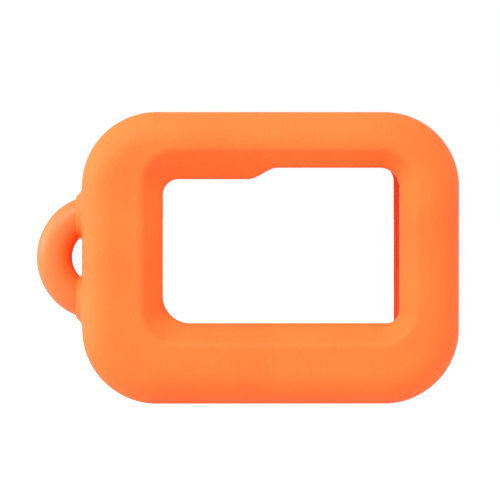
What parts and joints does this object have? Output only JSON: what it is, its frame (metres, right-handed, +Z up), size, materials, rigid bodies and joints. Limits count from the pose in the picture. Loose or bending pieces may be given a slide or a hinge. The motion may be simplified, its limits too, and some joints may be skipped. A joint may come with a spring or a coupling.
{
  "type": "action camera float case",
  "caption": "Soft orange foam float case for an action camera: stepped front window, hinged rear cover, press-through buttons and a side lanyard loop.",
  "frame": {"origin": "centre of the flat foot on the underside", "axes": "+X across the case from the lanyard loop to the closure tab, +Y from the front window to the rear cover, +Z up"},
  "size_m": [0.1077, 0.046, 0.0742],
  "materials": {
    "foam_orange": "matt moulded closed-cell foam skin",
    "moulded_rubber": "satin soft rubber",
    "lining_knit": "fine knit bonded to the foam",
    "webbing": "close woven strip",
    "fastener_tape": "hook and loop pile",
    "nylon_plastic": "matt moulded nylon",
    "spring_foam": "soft open-cell foam"
  },
  "bodies": {
    "case": {"front_shell": "foam_orange", "centre_frame": "foam_orange", "cavity_lining": "lining_knit", "lanyard_loop": "moulded_rubber", "loop_anchor_plate": "nylon_plastic", "hinge_strip_frame_half": "webbing", "loop_tape": "fastener_tape"},
    "cover": {"rear_cover": "foam_orange", "cover_lining": "lining_knit", "hinge_strip_cover_half": "webbing", "tab_root": "webbing"},
    "tab": {"closure_tab": "webbing", "hook_tape": "fastener_tape", "tab_grip": "moulded_rubber"},
    "shutter": {"shutter_pad": "moulded_rubber", "shutter_plunger": "nylon_plastic", "shutter_return_ring": "spring_foam"},
    "mode": {"mode_pad": "moulded_rubber", "mode_plunger": "nylon_plastic", "mode_return_ring": "spring_foam"}
  },
  "joints": [
    {"name": "cover_hinge", "type": "hinge", "parent": "case", "child": "cover", "pos_m": [-0.0481, 0.0131, 0.0371], "axis": [0, 0, 1], "range_deg": [0, 130]},
    {"name": "closure_tab_hinge", "type": "hinge", "parent": "cover", "child": "tab", "pos_m": [0.04805, 0.0131, 0.0275], "axis": [0, 0, 1], "range_deg": [0, 120]},
    {"name": "shutter_press", "type": "slide", "parent": "case", "child": "shutter", "axis": [0, 0, -1], "range_m": [0, 0.0014], "stiffness_N_per_m": 1400, "deforming": ["shutter_return_ring"]},
    {"name": "mode_press", "type": "slide", "parent": "case", "child": "mode", "axis": [-1, 0, 0], "range_m": [0, 0.0014], "stiffness_N_per_m": 1400, "deforming": ["mode_return_ring"]}
  ]
}
